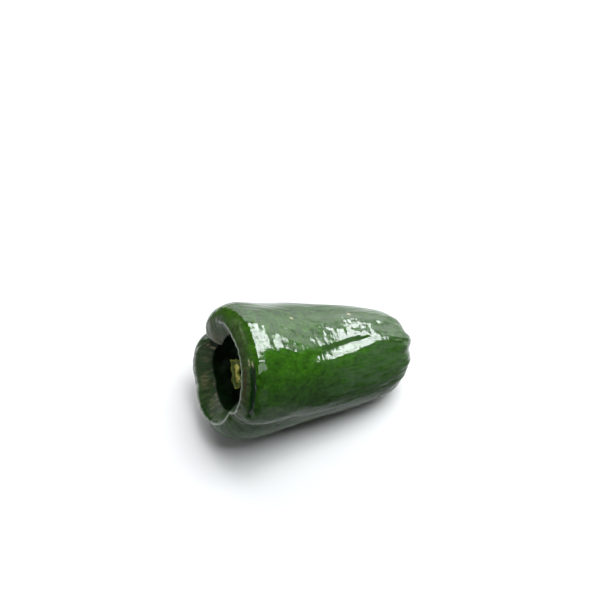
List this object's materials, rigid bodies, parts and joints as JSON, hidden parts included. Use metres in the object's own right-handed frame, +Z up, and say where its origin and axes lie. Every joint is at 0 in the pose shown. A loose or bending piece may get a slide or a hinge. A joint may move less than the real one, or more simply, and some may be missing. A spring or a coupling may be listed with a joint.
{
  "type": "poblano pepper",
  "caption": "Whole dark green poblano pepper lying on its side, a broad blunt lobed pod with a sunken crown and a short cut stem.",
  "frame": {"origin": "on the ground under the middle of the pepper's bounding box", "axes": "+X along the pepper's length from the crown to the tip, +Z up, -Y towards the near lobe; the pod's own axis slopes down to the tip by 11.3 degrees"},
  "size_m": [0.1126, 0.0702, 0.0728],
  "materials": {
    "pod_skin": "very glossy dark green waxy skin",
    "calyx_skin": "dull mid green plant skin",
    "stem_cut": "fibrous green rind round a dry straw-yellow pith"
  },
  "bodies": {
    "root": {"pod": "pod_skin", "calyx": "calyx_skin", "stem": "stem_cut"}
  },
  "joints": []
}
